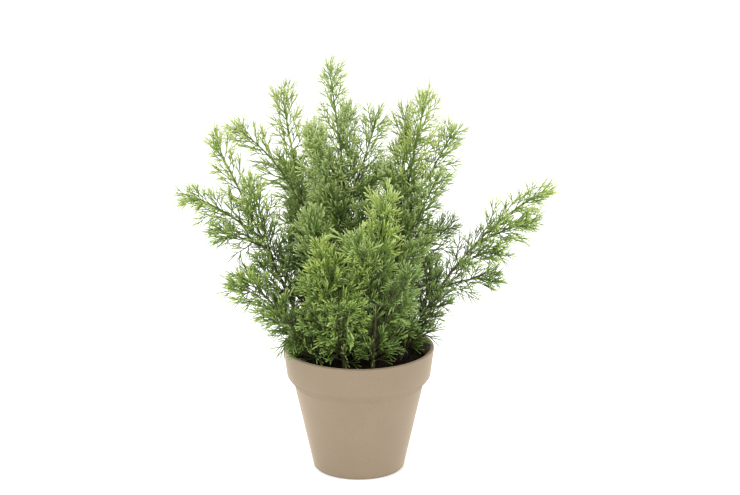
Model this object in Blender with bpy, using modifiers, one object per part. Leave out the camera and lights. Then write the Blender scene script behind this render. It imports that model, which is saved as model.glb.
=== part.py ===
"""Artificial tabletop tree: a tapered pot with a collar, a weighted foam core, and ten
sprays of plastic foliage that each bend at the foot on a steel wire core."""

import math

import bmesh
import bpy
from mathutils import Vector

MM = 0.001
FIT = 0.3 * MM          # air left between two pieces that touch in the real object
ROUND = 64              # facets round the pot and its filling
MERGE = 0.01 * MM
SMOOTH_ANGLE = math.radians(35)

# Pot wall as (radius, height) in millimetres: up the inside, over the lip, down the outside.
POT_INSIDE = ((0, 3), (38.6, 3), (40.2, 4.6), (57.5, 82.4), (64, 93.6), (66.4, 116), (66.5, 117.4))
POT_OUTSIDE = ((67.2, 118), (69.2, 118), (70, 117), (69.9, 115.4), (66.9, 92.4), (66.3, 90.2),
               (64.5, 87.6), (60.9, 83.6), (59.9, 81.6), (42.8, 4.2), (42.1, 1.8), (40.6, 0.5),
               (38, 0), (0, 0))

FLOOR_TOP = 3 * MM
BALLAST_TOP = 30 * MM
FOAM_SHOULDER = 78 * MM # above it the foam block is cut straight
FOAM_TOP = 98 * MM
SOIL_TOP = 106 * MM
SOIL_RADIUS = 64 * MM
SOIL_CROWN = 52 * MM    # the soil falls away outside this radius

WIRE_RADIUS = 0.9 * MM
WIRE_FOOT = 45 * MM     # height of the lower end of each wire inside the foam
PIVOT_HEIGHT = 110 * MM # bending point of every stem, just clear of the soil
KNUCKLE = 2.2 * MM      # radius of the rounded stem foot about its bending point

STEM_FOOT_RADIUS = 1.6 * MM
STEM_END_RADIUS = 0.9 * MM
PEG_RADIUS = 0.9 * MM
PEG_REACH = 8 * MM      # how far a peg, or the stem's own end, reaches into its plume
SOCKET_DEPTH = 8.6 * MM
BRANCH_GAP = 1.2 * MM   # air between a stem and the mouth of a plume on one of its pegs
PLUME_MOUTH = 2.2 * MM
PLUME_BELLY = 4.6 * MM
PLUME_SHAPE = ((0.0, 0.52), (0.18, 0.8), (0.36, 1.0), (0.58, 0.86), (0.8, 0.52), (1.0, 0.15))

# One spray per entry. Azimuth 0 is to the right of the front view and 90 is away from it.
# foot: distance from the pot's axis in millimetres, azimuth.
# main: azimuth, lean at the foot, lean at the tip, length in millimetres, share that is bare stem.
# sides: share of the main length where it leaves, azimuth, lean at its foot, lean at its tip, length.
SPRAYS = {
    "centre": {
        "foot": (6, 110),
        "main": (165, 3, 10, 276, 0.58),
        "sides": ((0.44, 92, 17, 4, 114), (0.40, 208, 24, 12, 122), (0.50, 350, 20, 10, 104)),
    },
    "left_tall": {
        "foot": (24, 150),
        "main": (160, 14, 9, 254, 0.64),
        "sides": ((0.53, 188, 26, 62, 112), (0.36, 120, 30, 22, 96)),
    },
    "left_wide": {
        "foot": (42, 184),
        "main": (180, 22, 26, 232, 0.62),
        "sides": ((0.52, 200, 48, 70, 94), (0.48, 218, 60, 76, 68), (0.40, 226, 20, 12, 94)),
    },
    "left_low": {
        "foot": (43, 218),
        "main": (206, 34, 66, 132, 0.50),
        "sides": ((0.36, 176, 40, 54, 76), (0.20, 230, 50, 58, 66)),
    },
    "right_tall": {
        "foot": (24, 30),
        "main": (8, 8, 13, 252, 0.62),
        "sides": ((0.50, 352, 30, 26, 108), (0.36, 322, 32, 24, 106), (0.42, 60, 10, 3, 126)),
    },
    "right_long": {
        "foot": (40, 348),
        "main": (3, 26, 67, 216, 0.66),
        "sides": ((0.58, 330, 56, 74, 76), (0.46, 330, 56, 74, 58), (0.34, 325, 60, 100, 72)),
    },
    "front_left": {
        "foot": (38, 250),
        "main": (245, 16, 30, 140, 0.48),
        "sides": ((0.34, 180, 18, 2, 112), (0.22, 272, 48, 44, 70)),
    },
    "front_right": {
        "foot": (38, 290),
        "main": (292, 8, 16, 180, 0.55),
        "sides": ((0.42, 240, 34, 30, 82), (0.26, 306, 44, 40, 84)),
    },
    "back_left": {
        "foot": (42, 118),
        "main": (118, 12, 20, 206, 0.55),
        "sides": ((0.42, 152, 34, 30, 92), (0.30, 90, 42, 36, 84)),
    },
    "back_right": {
        "foot": (42, 62),
        "main": (60, 12, 22, 200, 0.55),
        "sides": ((0.42, 96, 32, 30, 88), (0.26, 22, 52, 48, 92)),
    },
}
SPINE_STEPS = 12


def heading(azimuth, lean):
    """Unit direction of a branch from its azimuth and its lean off the vertical, in degrees."""
    turn = math.radians(azimuth)
    tilt = math.radians(lean)
    return Vector((math.sin(tilt) * math.cos(turn), math.sin(tilt) * math.sin(turn), math.cos(tilt)))


def spine(start, azimuth, lean_foot, lean_tip, length):
    """Middle line of a branch as (distance, point, direction); its lean changes towards the tip."""
    line = []
    point = start.copy()
    step = length / SPINE_STEPS
    for count in range(SPINE_STEPS + 1):
        share = count / SPINE_STEPS
        lean = lean_foot + (lean_tip - lean_foot) * share ** 1.5
        direction = heading(azimuth, lean)
        line.append((share * length, point.copy(), direction))
        point += direction * step
    return line


def along(line, distance):
    """Point and direction of a middle line at a distance from its foot."""
    for near, far in zip(line, line[1:]):
        if distance <= far[0] + MERGE:
            share = (distance - near[0]) / (far[0] - near[0])
            return near[1].lerp(far[1], share), near[2].lerp(far[2], share).normalized()
    return line[-1][1], line[-1][2]


def foot_of(spray):
    """Bending point of a spray."""
    reach, azimuth = spray["foot"]
    turn = math.radians(azimuth)
    return Vector((reach * MM * math.cos(turn), reach * MM * math.sin(turn), PIVOT_HEIGHT))


def main_line(spray):
    azimuth, lean_foot, lean_tip, length, _ = spray["main"]
    return spine(foot_of(spray), azimuth, lean_foot, lean_tip, length * MM)


def side_line(spray, side):
    share, azimuth, lean_foot, lean_tip, length = side
    start, _ = along(main_line(spray), share * spray["main"][3] * MM)
    return spine(start, azimuth, lean_foot, lean_tip, length * MM)


def gap_to_segment(point, low, high):
    """Distance from a point to a straight piece of a middle line."""
    run = high - low
    share = max(0.0, min(1.0, (point - low).dot(run) / run.dot(run)))
    return (point - low - run * share).length


def mouth_of(spray, side):
    """Distance along a side branch at which its plume's mouth stands clear of the stem."""
    stem = [row[1] for row in main_line(spray)]
    branch = side_line(spray, side)
    needed = STEM_FOOT_RADIUS + PLUME_MOUTH + BRANCH_GAP
    distance = needed
    while distance < branch[-1][0] / 2:
        point, _ = along(branch, distance)
        nearest = min(gap_to_segment(point, low, high) for low, high in zip(stem, stem[1:]))
        if nearest >= needed:
            break
        distance += 0.5 * MM
    return distance


def clear_scene():
    for item in list(bpy.data.objects):
        bpy.data.objects.remove(item, do_unlink=True)


def new_collection(name):
    group = bpy.data.collections.new(name)
    bpy.context.scene.collection.children.link(group)
    return group


def linear(channel):
    if channel <= 0.04045:
        return channel / 12.92
    return ((channel + 0.055) / 1.055) ** 2.4


def new_material(name, colour, roughness, metallic=0.0):
    """Principled material from a display colour written as six hexadecimal digits."""
    made = bpy.data.materials.new(name)
    made.use_nodes = True
    shader = made.node_tree.nodes["Principled BSDF"]
    channels = [linear(int(colour[at:at + 2], 16) / 255) for at in (0, 2, 4)]
    shader.inputs["Base Color"].default_value = (*channels, 1.0)
    shader.inputs["Roughness"].default_value = roughness
    shader.inputs["Metallic"].default_value = metallic
    return made


def turned(name, profile, group):
    """Piece turned about the pot's axis from a profile that runs down its outer side."""
    outline = bmesh.new()
    points = [outline.verts.new((radius, 0, height)) for radius, height in profile]
    for above, below in zip(points, points[1:]):
        outline.edges.new((above, below))
    data = bpy.data.meshes.new(name)
    outline.to_mesh(data)
    outline.free()
    made = bpy.data.objects.new(name, data)
    group.objects.link(made)
    sweep = made.modifiers.new("turn", "SCREW")
    sweep.steps = ROUND
    sweep.render_steps = ROUND
    sweep.use_merge_vertices = True
    sweep.merge_threshold = MERGE
    sweep.use_smooth_shade = False
    return made


def rod(name, rows, group):
    """Round rod through (point, radius) rows: a bevelled curve made into a closed mesh."""
    path = bpy.data.curves.new(name, "CURVE")
    path.dimensions = "3D"
    path.bevel_depth = 1.0
    path.bevel_resolution = 2
    path.use_fill_caps = True
    line = path.splines.new("POLY")
    line.points.add(len(rows) - 1)
    for knot, (point, radius) in zip(line.points, rows):
        knot.co = (*point, 1.0)
        knot.radius = radius
    drawn = bpy.data.objects.new(name, path)
    bpy.context.scene.collection.objects.link(drawn)
    graph = bpy.context.evaluated_depsgraph_get()
    data = bpy.data.meshes.new_from_object(drawn.evaluated_get(graph))
    bpy.data.objects.remove(drawn, do_unlink=True)
    welded = bmesh.new()
    welded.from_mesh(data)
    bmesh.ops.remove_doubles(welded, verts=welded.verts, dist=MERGE)
    welded.to_mesh(data)
    welded.free()
    data.name = name
    made = bpy.data.objects.new(name, data)
    group.objects.link(made)
    return made


def finish(piece, material):
    """Material and shading of a finished piece."""
    piece.data.materials.clear()
    piece.data.materials.append(material)
    if piece.data.polygons:
        piece.data.shade_smooth()
        piece.data.set_sharp_from_angle(angle=SMOOTH_ANGLE)


def carry_on(pivot, piece):
    """Hang a piece made in place on its spray's pivot empty."""
    piece.parent = pivot
    piece.matrix_parent_inverse = pivot.matrix_world.inverted()


def as_cutter(piece):
    piece.hide_render = True
    piece.display_type = "WIRE"
    return piece


def combine(piece, cutter, operation):
    step = piece.modifiers.new(cutter.name, "BOOLEAN")
    step.operation = operation
    step.solver = "EXACT"
    step.object = cutter


def inside_radius(height):
    """Inner radius of the pot's tapered body at a height."""
    low_radius, low = POT_INSIDE[2]
    high_radius, high = POT_INSIDE[3]
    share = (height / MM - low) / (high - low)
    return (low_radius + (high_radius - low_radius) * share) * MM


def make_pot(group):
    profile = [(radius * MM, height * MM) for radius, height in POT_INSIDE + POT_OUTSIDE]
    pot = turned("pot", profile, group)
    finish(pot, new_material("pot_plastic", "AE9D83", 0.62))


def make_ballast(group):
    low = FLOOR_TOP + FIT
    edge = low + 3 * MM
    profile = ((0, BALLAST_TOP), (inside_radius(BALLAST_TOP) - 2 * FIT, BALLAST_TOP),
               (inside_radius(edge) - 2 * FIT, edge), (37.5 * MM, low), (0, low))
    ballast = turned("ballast", profile, group)
    finish(ballast, new_material("cement", "8C8A84", 0.9))


def make_foam(group, drills):
    low = BALLAST_TOP + FIT
    wide = inside_radius(FOAM_SHOULDER) - 2 * FIT
    profile = ((0, FOAM_TOP), (wide, FOAM_TOP), (wide, FOAM_SHOULDER),
               (inside_radius(low) - 2 * FIT, low), (0, low))
    foam = turned("foam_core", profile, group)
    for drill in drills:
        combine(foam, drill, "DIFFERENCE")
    finish(foam, new_material("foam", "5B6B4A", 0.95))


def make_soil(group, drills):
    low = FOAM_TOP + FIT
    profile = ((0, SOIL_TOP), (SOIL_CROWN, SOIL_TOP), (SOIL_RADIUS - 2 * MM, SOIL_TOP - 0.6 * MM),
               (SOIL_RADIUS, SOIL_TOP - 1.6 * MM), (SOIL_RADIUS - 0.4 * MM, low), (0, low))
    soil = turned("soil_top", profile, group)
    for drill in drills:
        combine(soil, drill, "DIFFERENCE")
    finish(soil, new_material("peat", "2A1F12", 0.95))


def upright(foot, height):
    return Vector((foot.x, foot.y, height))


def make_drill(name, spray, tools):
    """Cutter for one wire's hole, through the soil and down into the foam."""
    foot = foot_of(spray)
    rows = [(upright(foot, height), WIRE_RADIUS + FIT) for height in (WIRE_FOOT - FIT, SOIL_TOP + 2 * MM)]
    return as_cutter(rod("drill_" + name, rows, tools))


def make_wire(name, spray, group):
    """Steel core of a stem, standing in the foam and ending just under the bending point."""
    foot = foot_of(spray)
    top = PIVOT_HEIGHT - KNUCKLE - FIT
    wire = rod("wire_" + name, [(upright(foot, height), WIRE_RADIUS) for height in (WIRE_FOOT, top)], group)
    finish(wire, new_material("steel_" + name, "8F9194", 0.4, 1.0))


def stem_rows(spray):
    """A rounded knuckle about the bending point, then a rod that tapers to the leader's peg."""
    line = main_line(spray)
    foot, first = line[0][1], line[0][2]
    end = spray["main"][3] * MM * spray["main"][4] + PEG_REACH
    rows = []
    for turn in (-80, -55, -30, -8):
        rise = math.radians(turn)
        rows.append((foot + first * (KNUCKLE * math.sin(rise)), KNUCKLE * math.cos(rise)))
    rows.append((foot + first * (2 * KNUCKLE), STEM_FOOT_RADIUS))
    for distance, point, _ in line[1:]:
        if distance < end - KNUCKLE:
            rows.append((point, STEM_FOOT_RADIUS + (STEM_END_RADIUS - STEM_FOOT_RADIUS) * distance / end))
    rows.append((along(line, end)[0], STEM_END_RADIUS))
    return rows


def make_stem(name, spray, pivot, group, tools):
    """Moulded stem with a peg for each side plume."""
    stem = rod("stem_" + name, stem_rows(spray), group)
    for count, side in enumerate(spray["sides"], 1):
        line = side_line(spray, side)
        end = mouth_of(spray, side) + PEG_REACH
        rows = [(along(line, end * share)[0], PEG_RADIUS) for share in (0, 0.5, 1)]
        combine(stem, as_cutter(rod(f"peg_{name}_{count}", rows, tools)), "UNION")
    finish(stem, new_material("stem_plastic_" + name, "5A4A36", 0.6))
    carry_on(pivot, stem)


def make_plume(name, line, mouth, peg_radius, pivot, group, tools):
    """Slim solid of one moulded plume, with the blind socket that takes its peg."""
    length = line[-1][0] - mouth
    rows = [(along(line, mouth + length * share)[0], PLUME_BELLY * width) for share, width in PLUME_SHAPE]
    plume = rod(name, rows, group)
    start, direction = along(line, mouth)
    bore = [start - direction * MM, start, along(line, mouth + SOCKET_DEPTH)[0]]
    socket = rod("socket_" + name, [(point, peg_radius + FIT) for point in bore], tools)
    combine(plume, as_cutter(socket), "DIFFERENCE")
    finish(plume, new_material("foliage_" + name, "6E8449", 0.55))
    carry_on(pivot, plume)


def make_spray(name, spray, group, tools):
    """One bendable spray: its pivot, stem, leader plume and side plumes."""
    pivot = bpy.data.objects.new("pivot_" + name, None)
    pivot.location = foot_of(spray)
    group.objects.link(pivot)
    bpy.context.view_layer.update()
    make_stem(name, spray, pivot, group, tools)
    bare = spray["main"][3] * MM * spray["main"][4]
    make_plume(f"plume_{name}_1", main_line(spray), bare, STEM_END_RADIUS, pivot, group, tools)
    for count, side in enumerate(spray["sides"], 2):
        line = side_line(spray, side)
        make_plume(f"plume_{name}_{count}", line, mouth_of(spray, side), PEG_RADIUS, pivot, group, tools)


def main():
    clear_scene()
    pieces = new_collection("artificial_tabletop_tree")
    tools = new_collection("cutters")
    make_pot(pieces)
    make_ballast(pieces)
    drills = [make_drill(name, spray, tools) for name, spray in SPRAYS.items()]
    make_foam(pieces, drills)
    make_soil(pieces, drills)
    for name, spray in SPRAYS.items():
        make_wire(name, spray, pieces)
        make_spray(name, spray, pieces, tools)


main()
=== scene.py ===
"""Artificial tabletop tree: ten wired sprays of moulded foliage standing in a taupe collar pot."""

import math
import random

import bmesh
import bpy
from mathutils import Matrix, Vector, noise


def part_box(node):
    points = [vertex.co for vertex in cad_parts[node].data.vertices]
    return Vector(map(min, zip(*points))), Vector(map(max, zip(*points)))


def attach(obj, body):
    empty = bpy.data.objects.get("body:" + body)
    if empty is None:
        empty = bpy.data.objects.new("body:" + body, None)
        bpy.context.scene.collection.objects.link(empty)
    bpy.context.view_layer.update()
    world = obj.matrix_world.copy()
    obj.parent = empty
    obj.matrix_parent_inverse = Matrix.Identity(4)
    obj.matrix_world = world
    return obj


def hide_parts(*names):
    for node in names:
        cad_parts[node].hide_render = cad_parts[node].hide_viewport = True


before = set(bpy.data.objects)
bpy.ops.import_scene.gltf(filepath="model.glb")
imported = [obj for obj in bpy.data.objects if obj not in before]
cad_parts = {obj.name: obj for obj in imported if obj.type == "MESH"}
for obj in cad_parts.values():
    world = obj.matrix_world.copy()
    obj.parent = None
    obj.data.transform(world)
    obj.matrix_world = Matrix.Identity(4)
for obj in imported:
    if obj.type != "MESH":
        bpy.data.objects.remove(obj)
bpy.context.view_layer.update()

MM = 0.001

# ---------------------------------------------------------------- camera and studio
# A long lens a little above the rim, a white sweep and three large soft lamps: a key from the
# left, a weaker fill from the right and one overhead, so that no hard shadow falls.

CAMERA_AIM = Vector((0.0104, 0.0, 0.213))
CAMERA_REACH = 2.93
CAMERA_RISE = math.radians(17.0)
CAMERA_LENS = 155.0


def linear(channel):
    if channel <= 0.04045:
        return channel / 12.92
    return ((channel + 0.055) / 1.055) ** 2.4


def shade(colour):
    """Linear colour of six hexadecimal digits."""
    return (*(linear(int(colour[at:at + 2], 16) / 255) for at in (0, 2, 4)), 1.0)


def place_camera():
    lens = bpy.data.cameras.new("camera")
    lens.lens = CAMERA_LENS
    lens.sensor_width = 36.0
    lens.clip_end = 20.0
    view = bpy.data.objects.new("camera", lens)
    back = Vector((0, -math.cos(CAMERA_RISE), math.sin(CAMERA_RISE)))
    view.location = CAMERA_AIM + back * CAMERA_REACH
    view.rotation_euler = back.to_track_quat("Z", "Y").to_euler()
    bpy.context.scene.collection.objects.link(view)
    bpy.context.scene.camera = view


def softbox(name, place, aim, width, power):
    lamp = bpy.data.lights.new(name, "AREA")
    lamp.shape = "SQUARE"
    lamp.size = width
    lamp.energy = power
    box = bpy.data.objects.new(name, lamp)
    box.location = place
    box.rotation_euler = (Vector(place) - Vector(aim)).to_track_quat("Z", "Y").to_euler()
    bpy.context.scene.collection.objects.link(box)


def add_node(tree, kind, settings=None, links=None):
    """One shader node: its settings by name, sockets and ramp stops included, and its feeds."""
    node = tree.nodes.new(kind)
    for name, value in (settings or {}).items():
        if name == "stops":
            for position, _ in value[2:]:
                node.color_ramp.elements.new(position)
            for point, (position, colour) in zip(node.color_ramp.elements, value):
                point.position = position
                point.color = shade(colour)
        elif isinstance(name, int) or name in node.inputs:
            node.inputs[name].default_value = value
        else:
            setattr(node, name, value)
    for name, source in (links or {}).items():
        tree.links.new(source, node.inputs[name])
    return node


def new_material(name):
    """An empty Principled material and its tree and shader."""
    made = bpy.data.materials.new(name)
    made.use_nodes = True
    return made, made.node_tree, made.node_tree.nodes["Principled BSDF"]


def white_sweep():
    """Seamless white paper: a flat sheet wider than any view."""
    mesh = bmesh.new()
    bmesh.ops.create_grid(mesh, x_segments=1, y_segments=1, size=12.0)
    data = bpy.data.meshes.new("sweep")
    mesh.to_mesh(data)
    mesh.free()
    sheet = bpy.data.objects.new("sweep", data)
    bpy.context.scene.collection.objects.link(sheet)
    paper, tree, shader = new_material("white_paper")
    shader.inputs["Base Color"].default_value = shade("F8F8F8")
    shader.inputs["Roughness"].default_value = 0.9
    # lit a little from below, as on an acrylic table, so that no shadow is left on it
    shader.inputs["Emission Color"].default_value = shade("FFFFFF")
    shader.inputs["Emission Strength"].default_value = 0.36
    data.materials.append(paper)


def light_room():
    world = bpy.data.worlds.new("studio")
    world.use_nodes = True
    sky = world.node_tree.nodes["Background"]
    sky.inputs["Color"].default_value = (1.0, 1.0, 1.0, 1.0)
    sky.inputs["Strength"].default_value = 0.8
    bpy.context.scene.world = world
    softbox("key", (-1.2, -1.6, 1.9), (0, 0, 0.2), 1.4, 26.0)
    softbox("fill", (1.7, -1.3, 1.2), (0, 0, 0.2), 1.6, 14.0)
    softbox("top", (0.0, 0.4, 2.4), (0, 0, 0.2), 1.8, 22.0)


bpy.context.scene.view_settings.view_transform = "Standard"
place_camera()
white_sweep()
light_room()


# ---------------------------------------------------------------- pot
# One injection-moulded polypropylene shell, matt taupe: a tapered body, a deep collar with a
# soft step under it, a rounded lip and a rounded bottom edge. The mould was lightly blasted,
# so the skin is a fine dry pebble with no gloss.

POT_INSIDE = ((38.6, 3), (40.2, 4.6), (57.5, 82.4), (64, 93.6), (66.3, 116))
POT_LIP = ((66.6, 117.4), (67.4, 118), (69.0, 118), (69.8, 117.4))
POT_OUTSIDE = ((69.9, 115.6), (66.9, 92.4), (66.4, 90.2), (64.5, 87.6), (61.0, 83.6), (60.0, 81.6),
               (42.8, 4.2), (42.2, 2.0), (40.8, 0.6), (38.6, 0.02))
POT_FACETS = 160


def turned(profile, facets):
    """Closed skin turned about the pot's axis from (radius, height) pairs in millimetres."""
    mesh = bmesh.new()
    points = [mesh.verts.new((0, 0, profile[0][1] * MM))]
    points += [mesh.verts.new((radius * MM, 0, height * MM)) for radius, height in profile]
    points.append(mesh.verts.new((0, 0, profile[-1][1] * MM)))
    edges = [mesh.edges.new(pair) for pair in zip(points, points[1:])]
    bmesh.ops.spin(mesh, geom=points + edges, axis=(0, 0, 1), cent=(0, 0, 0), angle=2 * math.pi,
                   steps=facets, use_merge=True, use_duplicate=False)
    bmesh.ops.remove_doubles(mesh, verts=mesh.verts, dist=0.005 * MM)
    bmesh.ops.recalc_face_normals(mesh, faces=mesh.faces)
    return mesh


def pot_plastic():
    made, tree, shader = new_material("blasted_polypropylene_taupe")
    place = add_node(tree, "ShaderNodeTexCoord").outputs["Object"]
    # slow drift of the pigment, 30 mm across, and a fine speckle of the filler, 0.8 mm
    drift = add_node(tree, "ShaderNodeTexNoise", {"Scale": 33.0, "Detail": 3.0}, {"Vector": place})
    speck = add_node(tree, "ShaderNodeTexNoise", {"Scale": 1250.0, "Detail": 2.0}, {"Vector": place})
    body = add_node(tree, "ShaderNodeValToRGB", {"stops": ((0.3, "8B7B64"), (0.7, "907E68"))},
                    {"Fac": drift.outputs["Fac"]})
    dots = add_node(tree, "ShaderNodeValToRGB", {"stops": ((0.36, "E4E0DA"), (0.64, "FFFFFF"))},
                    {"Fac": speck.outputs["Fac"]})
    mixed = add_node(tree, "ShaderNodeMix", {"data_type": "RGBA", "blend_type": "MULTIPLY", 0: 0.5},
                     {6: body.outputs["Color"], 7: dots.outputs["Color"]})
    tree.links.new(mixed.outputs[2], shader.inputs["Base Color"])
    # blasted grain, drawn at 0.9 mm so that it still shows, over moulding waviness of 14 mm
    grain = add_node(tree, "ShaderNodeTexNoise", {"Scale": 1100.0, "Detail": 3.0}, {"Vector": place})
    wave = add_node(tree, "ShaderNodeTexNoise", {"Scale": 70.0, "Detail": 1.0}, {"Vector": place})
    dry = add_node(tree, "ShaderNodeMapRange", {"To Min": 0.6, "To Max": 0.74},
                   {"Value": grain.outputs["Fac"]})
    tree.links.new(dry.outputs["Result"], shader.inputs["Roughness"])
    swell = add_node(tree, "ShaderNodeBump", {"Strength": 0.08, "Distance": 0.0006},
                     {"Height": wave.outputs["Fac"]})
    pebble = add_node(tree, "ShaderNodeBump", {"Strength": 0.22, "Distance": 0.0002},
                      {"Height": grain.outputs["Fac"], "Normal": swell.outputs["Normal"]})
    tree.links.new(pebble.outputs["Normal"], shader.inputs["Normal"])
    # the dry skin scatters light at grazing angles, so the flanks look paler than the front;
    # the sheen is turned off on faces that point down, a painted shade that keeps the underside of the
    # collar from lighting up
    facing = add_node(tree, "ShaderNodeSeparateXYZ",
                      links={"Vector": add_node(tree, "ShaderNodeNewGeometry").outputs["Normal"]})
    # painted shade: sheen weight falls to nothing on faces that point down
    sheen_with_painted_shade_under = add_node(tree, "ShaderNodeMapRange", {"From Min": -0.45, "From Max": -0.3, "To Max": 0.7},
                     {"Value": facing.outputs["Z"]})
    tree.links.new(sheen_with_painted_shade_under.outputs["Result"], shader.inputs["Sheen Weight"])
    shader.inputs["Sheen Roughness"].default_value = 0.44
    shader.inputs["Sheen Tint"].default_value = shade("E2D2BC")
    return made


def show(name, mesh, material, body, slot, *nodes):
    """Finish a piece from its bmesh: object, material, body and the CAD nodes it stands for; the slot
    argument is not used.
    """
    data = bpy.data.meshes.new(name)
    mesh.to_mesh(data)
    mesh.free()
    data.materials.append(material)
    data.shade_smooth()
    piece = bpy.data.objects.new(name, data)
    bpy.context.scene.collection.objects.link(piece)
    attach(piece, body)
    if nodes:
        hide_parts(*nodes)
    return piece


pot = show("pot_shell", turned(POT_INSIDE + POT_LIP + POT_OUTSIDE, POT_FACETS), pot_plastic(),
           "planter", "pot", "pot")
pot.data.set_sharp_from_angle(angle=math.radians(40))


# ---------------------------------------------------------------- ballast and foam core
# Grey cement cast in the bottom keeps the tree upright. Above it a block of dry green foam is
# glued in to hold the wires. Both are buried, so they keep their plain turned shapes.


def cement():
    made, tree, shader = new_material("cast_cement")
    place = add_node(tree, "ShaderNodeTexCoord").outputs["Object"]
    grit = add_node(tree, "ShaderNodeTexNoise", {"Scale": 420.0, "Detail": 6.0}, {"Vector": place})
    tone = add_node(tree, "ShaderNodeValToRGB", {"stops": ((0.3, "77756F"), (0.7, "A09E97"))},
                    {"Fac": grit.outputs["Fac"]})
    rough = add_node(tree, "ShaderNodeBump", {"Strength": 0.5, "Distance": 0.0005},
                     {"Height": grit.outputs["Fac"]})
    tree.links.new(tone.outputs["Color"], shader.inputs["Base Color"])
    tree.links.new(rough.outputs["Normal"], shader.inputs["Normal"])
    shader.inputs["Roughness"].default_value = 0.92
    return made


def dry_foam():
    made, tree, shader = new_material("dry_flower_foam")
    place = add_node(tree, "ShaderNodeTexCoord").outputs["Object"]
    cells = add_node(tree, "ShaderNodeTexVoronoi", {"Scale": 900.0}, {"Vector": place})
    tone = add_node(tree, "ShaderNodeValToRGB", {"stops": ((0.0, "3E4B31"), (0.6, "66784F"))},
                    {"Fac": cells.outputs["Distance"]})
    pits = add_node(tree, "ShaderNodeBump", {"Strength": 0.6, "Distance": 0.0004},
                    {"Height": cells.outputs["Distance"]})
    tree.links.new(tone.outputs["Color"], shader.inputs["Base Color"])
    tree.links.new(pits.outputs["Normal"], shader.inputs["Normal"])
    shader.inputs["Roughness"].default_value = 0.95
    return made


def repaint(node, material):
    """Give a CAD node's own mesh a finish."""
    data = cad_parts[node].data
    data.materials.clear()
    data.materials.append(material)


repaint("ballast", cement())
repaint("foam_core", dry_foam())


# ---------------------------------------------------------------- soil topping
# A thin pressed layer of dark peat fibre and bark crumbs hides the foam. It is lumpy, nearly
# black, and slopes down a little to the pot's wall.

SOIL_LOW, SOIL_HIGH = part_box("soil_top")
SOIL_RADIUS = SOIL_HIGH.x
SOIL_SURFACE = SOIL_HIGH.z
SOIL_RINGS = 34
SOIL_FACETS = 96
CRUMBS = 520
CRUMB_SIZES = (0.5 * MM, 1.7 * MM)
PEAT_TONES = ((0.25, "0E0A05"), (0.55, "241A0E"), (0.8, "3E2E1B"))


def soil_height(place):
    """Height of the lumpy soil at a place, falling away at the wall."""
    lump = noise.noise(Vector((place.x, place.y, 0.0)) * 95.0) * 1.3 * MM
    lump += noise.noise(Vector((place.y, place.x, 3.0)) * 310.0) * 0.7 * MM
    rim = max(0.0, math.hypot(place.x, place.y) / SOIL_RADIUS - 0.86) / 0.14
    return SOIL_SURFACE + lump - rim * rim * 2.2 * MM


def soil_mesh():
    mesh = bmesh.new()
    bmesh.ops.create_circle(mesh, cap_ends=True, cap_tris=False, segments=SOIL_FACETS, radius=SOIL_RADIUS)
    cap = mesh.faces[:]
    for ring in range(SOIL_RINGS):
        left = SOIL_RADIUS * (SOIL_RINGS - ring) / SOIL_RINGS
        step = left - SOIL_RADIUS * (SOIL_RINGS - ring - 1) / SOIL_RINGS
        if ring < SOIL_RINGS - 1:
            bmesh.ops.inset_region(mesh, faces=cap, thickness=step, use_even_offset=True)
    bmesh.ops.poke(mesh, faces=cap)
    for point in mesh.verts:
        point.co.z = soil_height(point.co)
    skirt = bmesh.ops.extrude_edge_only(mesh, edges=[edge for edge in mesh.edges if edge.is_boundary])
    hem = [item for item in skirt["geom"] if isinstance(item, bmesh.types.BMVert)]
    for point in hem:
        point.co.z = SOIL_LOW.z
    bmesh.ops.contextual_create(mesh, geom=[edge for edge in mesh.edges if edge.is_boundary])
    bmesh.ops.recalc_face_normals(mesh, faces=mesh.faces)
    return mesh


def scatter_crumbs(mesh):
    """Bark crumbs and peat grains, 1 to 4 mm, pressed into the surface."""
    chance = random.Random(11)
    for _ in range(CRUMBS):
        reach = (SOIL_RADIUS - 3 * MM) * math.sqrt(chance.random())
        turn = chance.uniform(0, 2 * math.pi)
        spot = Vector((reach * math.cos(turn), reach * math.sin(turn), 0))
        size = chance.uniform(*CRUMB_SIZES)
        spot.z = soil_height(spot) + size * 0.15
        tilt = Matrix.Rotation(chance.uniform(0, 3), 4, "X") @ Matrix.Rotation(chance.uniform(0, 3), 4, "Z")
        squeeze = Matrix.Diagonal((1.0, chance.uniform(0.5, 0.9), chance.uniform(0.35, 0.7), 1.0))
        bmesh.ops.create_icosphere(mesh, subdivisions=1, radius=size,
                                   matrix=Matrix.Translation(spot) @ tilt @ squeeze)
    return mesh


def peat():
    made, tree, shader = new_material("pressed_peat_fibre")
    place = add_node(tree, "ShaderNodeTexCoord").outputs["Object"]
    fibre = add_node(tree, "ShaderNodeTexNoise", {"Scale": 520.0, "Detail": 5.0, "Distortion": 1.5},
                     {"Vector": place})
    tone = add_node(tree, "ShaderNodeValToRGB", {"stops": PEAT_TONES}, {"Fac": fibre.outputs["Fac"]})
    rough = add_node(tree, "ShaderNodeBump", {"Strength": 0.7, "Distance": 0.0006},
                     {"Height": fibre.outputs["Fac"]})
    tree.links.new(tone.outputs["Color"], shader.inputs["Base Color"])
    tree.links.new(rough.outputs["Normal"], shader.inputs["Normal"])
    shader.inputs["Roughness"].default_value = 0.96
    shader.inputs["Specular IOR Level"].default_value = 0.25
    return made


soil = show("soil_layer", scatter_crumbs(soil_mesh()), peat(), "planter", "soil", "soil_top")


# ---------------------------------------------------------------- wires and stems
# Each spray grows on a soft steel wire. Over it a brown polyethylene stem is moulded, matt and
# slightly ridged along its length, with short pegs that take the side plumes.

BARK_TONES = ((0.25, "403A27"), (0.5, "5E553B"), (0.78, "7E7852"))


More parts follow.
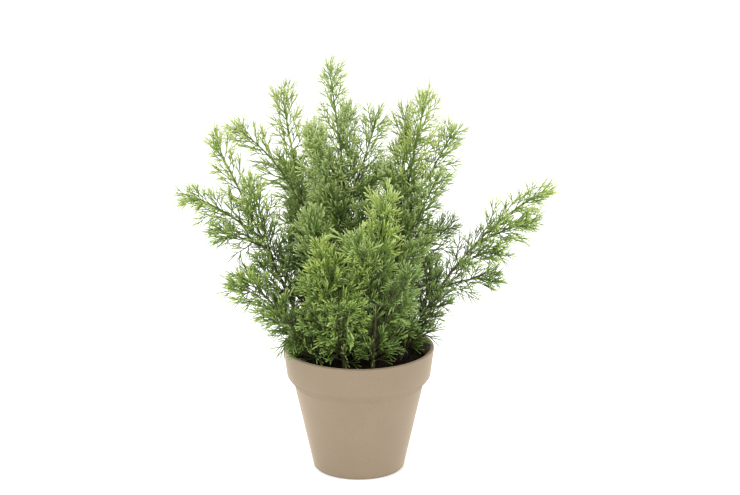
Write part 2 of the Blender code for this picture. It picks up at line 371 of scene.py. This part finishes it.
def drawn_wire():
    made, tree, shader = new_material("drawn_soft_steel")
    place = add_node(tree, "ShaderNodeTexCoord").outputs["Object"]
    scuff = add_node(tree, "ShaderNodeTexNoise", {"Scale": 600.0, "Detail": 3.0}, {"Vector": place})
    tone = add_node(tree, "ShaderNodeValToRGB", {"stops": ((0.3, "6E7073"), (0.7, "9A9C9F"))},
                    {"Fac": scuff.outputs["Fac"]})
    worn = add_node(tree, "ShaderNodeMapRange", {"To Min": 0.3, "To Max": 0.5},
                    {"Value": scuff.outputs["Fac"]})
    tree.links.new(tone.outputs["Color"], shader.inputs["Base Color"])
    tree.links.new(worn.outputs["Result"], shader.inputs["Roughness"])
    shader.inputs["Metallic"].default_value = 1.0
    return made


def stem_plastic():
    made, tree, shader = new_material("moulded_stem_plastic")
    place = add_node(tree, "ShaderNodeTexCoord").outputs["Object"]
    # bark-like streaks stretched upwards: 1 mm across, 6 mm tall
    streaks = add_node(tree, "ShaderNodeMapping", {"Scale": (1000.0, 1000.0, 160.0)}, {"Vector": place})
    grain = add_node(tree, "ShaderNodeTexNoise", {"Scale": 1.0, "Detail": 3.0},
                     {"Vector": streaks.outputs["Vector"]})
    tone = add_node(tree, "ShaderNodeValToRGB", {"stops": BARK_TONES}, {"Fac": grain.outputs["Fac"]})
    ridges = add_node(tree, "ShaderNodeBump", {"Strength": 0.6, "Distance": 0.0003},
                      {"Height": grain.outputs["Fac"]})
    tree.links.new(tone.outputs["Color"], shader.inputs["Base Color"])
    tree.links.new(ridges.outputs["Normal"], shader.inputs["Normal"])
    shader.inputs["Roughness"].default_value = 0.62
    return made


WIRE_FINISH = drawn_wire()
STEM_FINISH = stem_plastic()
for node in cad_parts:
    if node.startswith("wire_"):
        repaint(node, WIRE_FINISH)
    if node.startswith("stem_"):
        repaint(node, STEM_FINISH)


# ---------------------------------------------------------------- twig moulds
# The foliage is polyethylene, moulded in a few flat twigs that are used over and over: a thin
# axis that forks left and right, each fork ending in one or two blunt needles 1 mm thick.
# Every twig's map runs from 0 at the old wood to 1 at the needle tips.

TONE_MAP = "OFBake"
NEEDLE_SIDES = 4
NEEDLE_RADIUS = 0.48 * MM
NEEDLE_TIP = 0.42 * MM
NEEDLE_LENGTH = 11.0 * MM
# how much lighter a needle is drawn at its tip than at its base; the darker base is partly painted shade
# among the needles
NEEDLE_TIP_LIGHTENS = 0.45
TWIG_STEP = 5.2 * MM
AXIS_LAP = 1.08             # a twig's rods run a little past the next one's foot
SHOOT_LAP = 1.1
MOULDS = 12


def add_needle(mesh, tones, start, along, length, radii, tone):
    """One tapering rod with a blunt domed end; tone runs from its base to its end."""
    turn = along.to_track_quat("Z", "Y").to_matrix().to_4x4()
    middle = start + along * (length / 2)
    made = bmesh.ops.create_cone(mesh, cap_ends=True, segments=NEEDLE_SIDES, radius1=radii[0],
                                 radius2=radii[1], depth=length, matrix=Matrix.Translation(middle) @ turn)
    tip = [point for point in made["verts"] if (point.co - middle).dot(along) > 0]
    for point in made["verts"]:
        point[tones] = tone[1] if point in tip else tone[0]
    cap = [face for face in tip[0].link_faces if all(point in tip for point in face.verts)]
    for point in bmesh.ops.poke(mesh, faces=cap)["verts"]:
        point.co += along * radii[1] * 0.8
        point[tones] = tone[1]


def swung(along, normal, degrees):
    return (Matrix.Rotation(math.radians(degrees), 3, normal) @ along).normalized()


def add_tuft(mesh, tones, chance, start, along, normal, angles, size, tone):
    """Blunt needles that spread from one point, one per angle in the twig's plane."""
    for angle in angles:
        aim = swung(along, normal, angle + chance.uniform(-5, 5))
        aim = swung(aim, along.cross(normal), chance.uniform(-12, 12))
        length = NEEDLE_LENGTH * size * chance.uniform(0.8, 1.2)
        # the needle's tip is drawn lighter than its base, whose darker tone is partly painted shade
        tip_tone = min(1.0, tone + NEEDLE_TIP_LIGHTENS)
        add_needle(mesh, tones, start, aim, length, (NEEDLE_RADIUS, NEEDLE_TIP), (tone, tip_tone))


def add_shoot(mesh, tones, chance, start, along, normal, size, tone):
    """A side shoot: a short run, a needle to one side, another run and a fork of two."""
    side = chance.choice((-1, 1))
    run = chance.uniform(3.4, 4.6) * MM * size
    rod = (NEEDLE_RADIUS, NEEDLE_RADIUS)
    add_needle(mesh, tones, start, along, run * SHOOT_LAP, rod, (tone, tone + 0.1))
    start = start + along * run
    add_tuft(mesh, tones, chance, start, along, normal, (side * 22,), size, tone + 0.1)
    along = swung(along, normal, -side * chance.uniform(2, 8))
    run = chance.uniform(2.2, 3.4) * MM * size
    add_needle(mesh, tones, start, along, run * SHOOT_LAP, rod, (tone + 0.1, tone + 0.18))
    start = start + along * run
    spread = chance.uniform(8, 14)
    add_tuft(mesh, tones, chance, start, along, normal, (-spread, spread), size, tone + 0.18)


def twig_mould(number):
    """One flat twig along +Z that curves towards +X, forking mostly in the XZ plane."""
    chance = random.Random(100 + number)
    mesh = bmesh.new()
    tones = mesh.verts.layers.float.new("tone")
    steps = (2, 3, 3)[number % 3]
    point = Vector((0, 0, 0))
    along = Vector((0, 0, 1))
    flat = Vector((0, 1, 0))
    side = chance.choice((-1, 1))
    for step in range(steps):
        share = step / steps
        run = TWIG_STEP * chance.uniform(0.85, 1.2)
        radius = NEEDLE_RADIUS * (1.25 - 0.2 * share)
        tone = 0.08 + 0.2 * share
        add_needle(mesh, tones, point, along, run * AXIS_LAP, (radius, radius * 0.95), (tone, tone + 0.05))
        point = point + along * run
        normal = swung(flat, along, chance.uniform(-50, 50))
        aim = swung(along, normal, side * chance.uniform(25, 38))
        add_shoot(mesh, tones, chance, point, aim, normal, 1.0 - 0.25 * share, tone + 0.05)
        side = -side
        bend = swung(along, flat, chance.uniform(2, 10))
        along = swung(bend, along.cross(flat), chance.uniform(-6, 6))
    add_shoot(mesh, tones, chance, point, along, flat, chance.uniform(0.85, 1.0), 0.3)
    map_tones(mesh, tones)
    data = bpy.data.meshes.new(f"twig_mould_{number}")
    mesh.to_mesh(data)
    mesh.free()
    return data


def map_tones(mesh, tones):
    """Copy each point's tone to the map's first coordinate."""
    layer = mesh.loops.layers.uv.new(TONE_MAP)
    for face in mesh.faces:
        for corner in face.loops:
            corner[layer].uv = (corner.vert[tones], 0.5)


TWIGS = [twig_mould(number) for number in range(MOULDS)]


# ---------------------------------------------------------------- foliage finish
# Satin polyethylene, pigmented in the melt: old wood is brown-green, young needles are a fresh
# yellow-green, and whole plumes differ, from yellowish to a cool grey-green. The dark low end of the
# tone, at stalks and at the bases of twigs and needles inside each plume, is partly that brown-green
# and partly painted shade.

FOLIAGE_WARM = ((0.0, "4E5323"), (0.12, "607A26"), (0.4, "8BAA3E"), (0.75, "BBCF66"), (1.0, "D6E292"))
FOLIAGE_COOL = ((0.0, "4A4F2D"), (0.12, "587038"), (0.4, "7B995A"), (0.75, "AABE8A"), (1.0, "CAD6AE"))


def foliage_plastic():
    made, tree, shader = new_material("satin_foliage_polyethylene")
    place = add_node(tree, "ShaderNodeUVMap", {"uv_map": TONE_MAP}).outputs["UV"]
    parts = add_node(tree, "ShaderNodeSeparateXYZ", links={"Vector": place})
    # the map's first coordinate is the tone: age along each twig, its dark low end partly painted shade,
    # with the painted height shading added
    age_and_shade, family = parts.outputs["X"], parts.outputs["Y"]
    warm = add_node(tree, "ShaderNodeValToRGB", {"stops": FOLIAGE_WARM}, {"Fac": age_and_shade})
    cool = add_node(tree, "ShaderNodeValToRGB", {"stops": FOLIAGE_COOL}, {"Fac": age_and_shade})
    blend = add_node(tree, "ShaderNodeMix", {"data_type": "RGBA"},
                     {0: family, 6: warm.outputs["Color"], 7: cool.outputs["Color"]})
    # pigment streaks in the melt, fine against the length of a needle
    streak = add_node(tree, "ShaderNodeTexNoise", {"Scale": 26.0, "Detail": 3.0}, {"Vector": place})
    veil = add_node(tree, "ShaderNodeValToRGB", {"stops": ((0.3, "DADADA"), (0.7, "FFFFFF"))},
                    {"Fac": streak.outputs["Fac"]})
    tint = add_node(tree, "ShaderNodeMix", {"data_type": "RGBA", "blend_type": "MULTIPLY", 0: 0.6},
                    {6: blend.outputs[2], 7: veil.outputs["Color"]})
    satin = add_node(tree, "ShaderNodeMapRange", {"To Min": 0.46, "To Max": 0.62},
                     {"Value": streak.outputs["Fac"]})
    tree.links.new(tint.outputs[2], shader.inputs["Base Color"])
    tree.links.new(satin.outputs["Result"], shader.inputs["Roughness"])
    return made


FOLIAGE_FINISH = foliage_plastic()


# ---------------------------------------------------------------- plumes
# Every plume is a stalk with a socket pushed over a peg, set all round with twigs that grow
# shorter and lie closer to the stalk towards the tip. The branch list is the one the solid
# stems and plumes follow: azimuth 0 is to the right, 90 is away from the front.

SPRAYS = {
    "centre": {
        "foot": (6, 110),
        "main": (165, 3, 10, 276, 0.58),
        "sides": ((0.44, 92, 17, 4, 114), (0.40, 208, 24, 12, 122), (0.50, 350, 20, 10, 104)),
    },
    "left_tall": {
        "foot": (24, 150),
        "main": (160, 14, 9, 254, 0.64),
        "sides": ((0.53, 188, 26, 62, 112), (0.36, 120, 30, 22, 96)),
    },
    "left_wide": {
        "foot": (42, 184),
        "main": (180, 22, 26, 232, 0.62),
        "sides": ((0.52, 200, 48, 70, 94), (0.48, 218, 60, 76, 68), (0.40, 226, 20, 12, 94)),
    },
    "left_low": {
        "foot": (43, 218),
        "main": (206, 34, 66, 132, 0.50),
        "sides": ((0.36, 176, 40, 54, 76), (0.20, 230, 50, 58, 66)),
    },
    "right_tall": {
        "foot": (24, 30),
        "main": (8, 8, 13, 252, 0.62),
        "sides": ((0.50, 352, 30, 26, 108), (0.36, 322, 32, 24, 106), (0.42, 60, 10, 3, 126)),
    },
    "right_long": {
        "foot": (40, 348),
        "main": (3, 26, 67, 216, 0.66),
        "sides": ((0.58, 330, 56, 74, 76), (0.46, 330, 56, 74, 58), (0.34, 325, 60, 100, 72)),
    },
    "front_left": {
        "foot": (38, 250),
        "main": (245, 16, 30, 140, 0.48),
        "sides": ((0.34, 180, 18, 2, 112), (0.22, 272, 48, 44, 70)),
    },
    "front_right": {
        "foot": (38, 290),
        "main": (292, 8, 16, 180, 0.55),
        "sides": ((0.42, 240, 34, 30, 82), (0.26, 306, 44, 40, 84)),
    },
    "back_left": {
        "foot": (42, 118),
        "main": (118, 12, 20, 206, 0.55),
        "sides": ((0.42, 152, 34, 30, 92), (0.30, 90, 42, 36, 84)),
    },
    "back_right": {
        "foot": (42, 62),
        "main": (60, 12, 22, 200, 0.55),
        "sides": ((0.42, 96, 32, 30, 88), (0.26, 22, 52, 48, 92)),
    },
}
PIVOT_HEIGHT = 110 * MM
SPINE_STEPS = 12
GOLDEN_ANGLE = math.radians(137.5)
STALK_SIDES = 6
STALK_STEP = 9 * MM
STALK_RADII = (1.1 * MM, 0.6 * MM)
STALK_PAST = 4 * MM         # how far a stalk runs on into its crown
SOCKET_RADII = (1.6 * MM, 1.4 * MM)
SOCKET_DEPTH = 7 * MM
TWIG_SPACING = 3.9 * MM
TWIG_SPLAY = 54             # degrees off the stalk at a plume's foot
TWIG_CLOSES = 18            # degrees less at its crown
TWIG_ROLL = 40
CROWN_TWIGS = 5
CROWN_STEP = 2.4 * MM
CROWN_SPLAY = 8
CROWN_LENGTH = 17 * MM
FAMILY_SPREAD = 0.14
AGE_SPREAD = 0.09
FRESHNESS = 0.3             # warmer pigment families also look younger
HEIGHT_SHADING = 0.42                # painted light and shade: twigs are drawn darker towards the soil and lighter high up
HEIGHT_SHADING_RISE = 140 * MM      # the height over the pivots at which the painted height shading is nil


def heading(azimuth, lean):
    turn = math.radians(azimuth)
    tilt = math.radians(lean)
    return Vector((math.sin(tilt) * math.cos(turn), math.sin(tilt) * math.sin(turn), math.cos(tilt)))


def spine(start, azimuth, lean_foot, lean_tip, length):
    """Middle line of a branch as (distance, point, direction)."""
    line = []
    point = start.copy()
    for count in range(SPINE_STEPS + 1):
        share = count / SPINE_STEPS
        direction = heading(azimuth, lean_foot + (lean_tip - lean_foot) * share ** 1.5)
        line.append((share * length, point.copy(), direction))
        point += direction * (length / SPINE_STEPS)
    return line


def along_line(line, distance):
    """Point and direction of a middle line at a distance from its foot."""
    for near, far in zip(line, line[1:]):
        if distance <= far[0]:
            share = (distance - near[0]) / (far[0] - near[0])
            return near[1].lerp(far[1], share), near[2].lerp(far[2], share).normalized()
    return line[-1][1].copy(), line[-1][2].copy()


def main_line(spray):
    reach, turn = spray["foot"][0] * MM, math.radians(spray["foot"][1])
    foot = Vector((reach * math.cos(turn), reach * math.sin(turn), PIVOT_HEIGHT))
    azimuth, lean_foot, lean_tip, length, _ = spray["main"]
    return spine(foot, azimuth, lean_foot, lean_tip, length * MM)


def side_line(spray, side):
    share, azimuth, lean_foot, lean_tip, length = side
    start, _ = along_line(main_line(spray), share * spray["main"][3] * MM)
    return spine(start, azimuth, lean_foot, lean_tip, length * MM)


def add_stalk(mesh, layer, line, low, high, radii, tint):
    """Thin stalk along part of a line, drawn out ring by ring from a circle."""
    point, direction = along_line(line, low)
    turn = direction.to_track_quat("Z", "Y").to_matrix().to_4x4()
    start = bmesh.ops.create_circle(mesh, cap_ends=True, segments=STALK_SIDES, radius=radii[0],
                                    matrix=Matrix.Translation(point) @ turn)
    edges = list({edge for item in start["verts"] for edge in item.link_edges})
    faces = set(face for item in start["verts"] for face in item.link_faces)
    steps = max(3, round((high - low) / STALK_STEP))
    for step in range(1, steps + 1):
        share = step / steps
        point, direction = along_line(line, low + (high - low) * share)
        radius = radii[0] + (radii[1] - radii[0]) * share
        grown = bmesh.ops.extrude_edge_only(mesh, edges=edges)["geom"]
        ring = [item for item in grown if isinstance(item, bmesh.types.BMVert)]
        edges = [item for item in grown if isinstance(item, bmesh.types.BMEdge)
                 and all(end in ring for end in item.verts)]
        faces.update(item for item in grown if isinstance(item, bmesh.types.BMFace))
        middle = sum((item.co for item in ring), Vector()) / len(ring)
        for item in ring:
            out = item.co - middle
            out -= direction * out.dot(direction)
            item.co = point + out.normalized() * radius
    tip = bmesh.ops.contextual_create(mesh, geom=edges)["faces"]
    faces.update(tip)
    bmesh.ops.recalc_face_normals(mesh, faces=list(faces))
    reach = line[-1][0]
    for face in faces:
        for corner in face.loops:
            share = (corner.vert.co - line[0][1]).length / reach
            corner[layer].uv = (min(0.3, 0.02 + 0.2 * share * share), tint)


def add_twig(mesh, layer, chance, point, direction, upward, size, tint):
    """Set one moulded twig on a stalk, its curve turned upward along the stalk."""
    known = len(mesh.verts)
    known_faces = len(mesh.faces)
    mesh.from_mesh(chance.choice(TWIGS))
    mesh.verts.ensure_lookup_table()
    mesh.faces.ensure_lookup_table()
    across = (upward - direction * upward.dot(direction)).normalized()
    turn = Matrix((across, direction.cross(across), direction)).transposed().to_4x4()
    roll = Matrix.Rotation(math.radians(chance.uniform(-TWIG_ROLL, TWIG_ROLL)), 4, "Z")
    place = Matrix.Translation(point) @ turn @ roll @ Matrix.Scale(size, 4)
    for item in mesh.verts[known:]:
        item.co = place @ item.co
    family = min(0.98, max(0.02, tint + chance.uniform(-FAMILY_SPREAD, FAMILY_SPREAD)))
    # painted light and shade by height alone: twigs near the soil get a darker tone, those high on the bush
    # a lighter one
    rise = min(1.5, (point.z - PIVOT_HEIGHT) / HEIGHT_SHADING_RISE)
    lift = FRESHNESS * (0.4 - tint) + HEIGHT_SHADING * (rise - 1.0) + chance.uniform(-AGE_SPREAD, AGE_SPREAD)
    for face in mesh.faces[known_faces:]:
        for corner in face.loops:
            corner[layer].uv = (min(0.99, max(0.01, corner[layer].uv.x + lift)), family)


def clothe(mesh, layer, chance, line, low, high, size, tint):
    """Twigs in a spiral along a line between two distances."""
    distance = low
    turn = chance.uniform(0, 2 * math.pi)
    while distance < high:
        share = (distance - low) / (high - low)
        point, direction = along_line(line, distance)
        side = direction.orthogonal().normalized()
        out = side * math.cos(turn) + direction.cross(side) * math.sin(turn)
        splay = math.radians(TWIG_SPLAY - TWIG_CLOSES * share + chance.uniform(-10, 10))
        aim = (direction * math.cos(splay) + out * math.sin(splay)).normalized()
        reach = size * (1.08 - 0.22 * share) * chance.uniform(0.8, 1.12)
        add_twig(mesh, layer, chance, point, aim, direction, reach, tint)
        turn += GOLDEN_ANGLE + chance.uniform(-0.35, 0.35)
        distance += TWIG_SPACING * chance.uniform(0.8, 1.2) * (1.0 - 0.25 * share)


def crown(mesh, layer, chance, line, high, size, tint):
    """The last twigs of a plume, fanned out past the stalk's end."""
    point, direction = along_line(line, high)
    turn = chance.uniform(0, 2 * math.pi)
    side = direction.orthogonal().normalized()
    for count in range(CROWN_TWIGS):
        out = side * math.cos(turn) + direction.cross(side) * math.sin(turn)
        splay = math.radians(CROWN_SPLAY * (count + 0.75))
        aim = (direction * math.cos(splay) + out * math.sin(splay)).normalized()
        add_twig(mesh, layer, chance, point - direction * (CROWN_STEP * count), aim, direction.orthogonal(),
                 size * chance.uniform(0.85, 1.1), tint)
        turn += GOLDEN_ANGLE


def plume_mesh(line, low, chance, tint):
    """One plume from its socket to its tip."""
    mesh = bmesh.new()
    layer = mesh.loops.layers.uv.new(TONE_MAP)
    high = line[-1][0] - CROWN_LENGTH
    add_stalk(mesh, layer, line, low, high + STALK_PAST, STALK_RADII, tint)
    add_stalk(mesh, layer, line, low, low + SOCKET_DEPTH, SOCKET_RADII, tint)
    clothe(mesh, layer, chance, line, low + 2 * MM, high, 1.0, tint)
    crown(mesh, layer, chance, line, high, 0.8, tint)
    return mesh


# Pigment family of every part, 0 fresh yellow-green to 1 cool grey-green: low twigs, leader, sides.
TINTS = {
    "centre": (0.50, 0.35, 0.45, 0.35, 0.50),
    "left_tall": (0.45, 0.25, 0.25, 0.10),
    "left_wide": (0.50, 0.25, 0.25, 0.40, 0.35),
    "left_low": (0.40, 0.25, 0.45, 0.35),
    "right_tall": (0.50, 0.10, 0.35, 0.50, 0.30),
    "right_long": (0.50, 0.20, 0.30, 0.30, 0.45),
    "front_left": (0.40, 0.10, 0.50, 0.35),
    "front_right": (0.45, 0.05, 0.30, 0.65),
    "back_left": (0.65, 0.50, 0.60, 0.60),
    "back_right": (0.65, 0.45, 0.60, 0.60),
}
MOUTH_DISTANCE = 9 * MM


def make_plumes(name, spray):
    body = "spray_" + name
    chance = random.Random("plumes " + name)
    line = main_line(spray)
    low = spray["main"][3] * MM * spray["main"][4]
    mesh = plume_mesh(line, low, chance, TINTS[name][1])
    show(f"foliage_{name}_1", mesh, FOLIAGE_FINISH, body, "foliage", f"plume_{name}_1")
    for count, side in enumerate(spray["sides"], 2):
        mesh = plume_mesh(side_line(spray, side), MOUTH_DISTANCE, chance, TINTS[name][count])
        show(f"foliage_{name}_{count}", mesh, FOLIAGE_FINISH, body, "foliage", f"plume_{name}_{count}")


# ---------------------------------------------------------------- low twigs
# The lower part of every stem carries short twigs and small side sprigs of its own, moulded in
# one with the stem. They close the bush above the soil.

SPRIG_SPACING = 12 * MM
SPRIG_SHARE = 0.58
LEAN_WITHOUT_SPRIGS = 52
FULL_RISE = 160 * MM
STEEPEST = 43               # the widest lean of a sprig, so that none hangs over the rim
SPRIG_RADII = (0.8 * MM, 0.5 * MM)
SPRIG_SIZE = 0.92
SPRIG_CROWN_SIZE = 0.75
STEM_TWIG_SIZE = 0.88
BARE_SPRIG = 7 * MM
BARE_FOOT = 9 * MM
TUFTS = 22


def add_sprig(mesh, layer, chance, line, distance, turn, tint):
    """A slim side sprig: it leaves the stem at a wide angle low down, a narrow one higher up."""
    start, direction = along_line(line, distance)
    rise = min(1.0, distance / FULL_RISE)
    side = direction.orthogonal().normalized()
    out = side * math.cos(turn) + direction.cross(side) * math.sin(turn)
    splay = math.radians(46 - 16 * rise + chance.uniform(-8, 8))
    aim = direction * math.cos(splay) + out * math.sin(splay)
    lean = min(STEEPEST, math.degrees(math.acos(aim.z)))
    azimuth = math.degrees(math.atan2(aim.y, aim.x))
    sprig = spine(start, azimuth, lean, lean - 10, (chance.uniform(46, 62) + 20 * rise) * MM)
    end = sprig[-1][0] - CROWN_LENGTH
    add_stalk(mesh, layer, sprig, 0.0, end + STALK_PAST, SPRIG_RADII, tint)
    clothe(mesh, layer, chance, sprig, BARE_SPRIG, end, SPRIG_SIZE, tint)
    crown(mesh, layer, chance, sprig, end, SPRIG_CROWN_SIZE, tint)


def make_low_twigs(name, spray):
    chance = random.Random("low " + name)
    mesh = bmesh.new()
    layer = mesh.loops.layers.uv.new(TONE_MAP)
    line = main_line(spray)
    bare = spray["main"][3] * MM * spray["main"][4]
    tint = TINTS[name][0]
    clothe(mesh, layer, chance, line, BARE_FOOT, bare + STALK_PAST, STEM_TWIG_SIZE, tint)
    high = line[-1][0] * SPRIG_SHARE * (1 - spray["main"][1] / LEAN_WITHOUT_SPRIGS)
    for count in range(round(high / SPRIG_SPACING)):
        turn = GOLDEN_ANGLE * count + chance.uniform(-0.5, 0.5)
        distance = 10 * MM + SPRIG_SPACING * count
        add_sprig(mesh, layer, chance, line, distance, turn, tint + chance.uniform(-0.25, 0.15))
    for count in range(TUFTS):
        start, _ = along_line(line, chance.uniform(3, 27) * MM)
        aim = heading(360 * count / TUFTS + chance.uniform(-10, 10), chance.uniform(44, 74))
        add_twig(mesh, layer, chance, start, aim, Vector((0, 0, 1)), chance.uniform(0.8, 1.1), tint)
    show("low_twigs_" + name, mesh, FOLIAGE_FINISH, "spray_" + name, "foliage")


for spray_name, spray_plan in SPRAYS.items():
    make_plumes(spray_name, spray_plan)
    make_low_twigs(spray_name, spray_plan)
for mould in TWIGS:
    bpy.data.meshes.remove(mould)
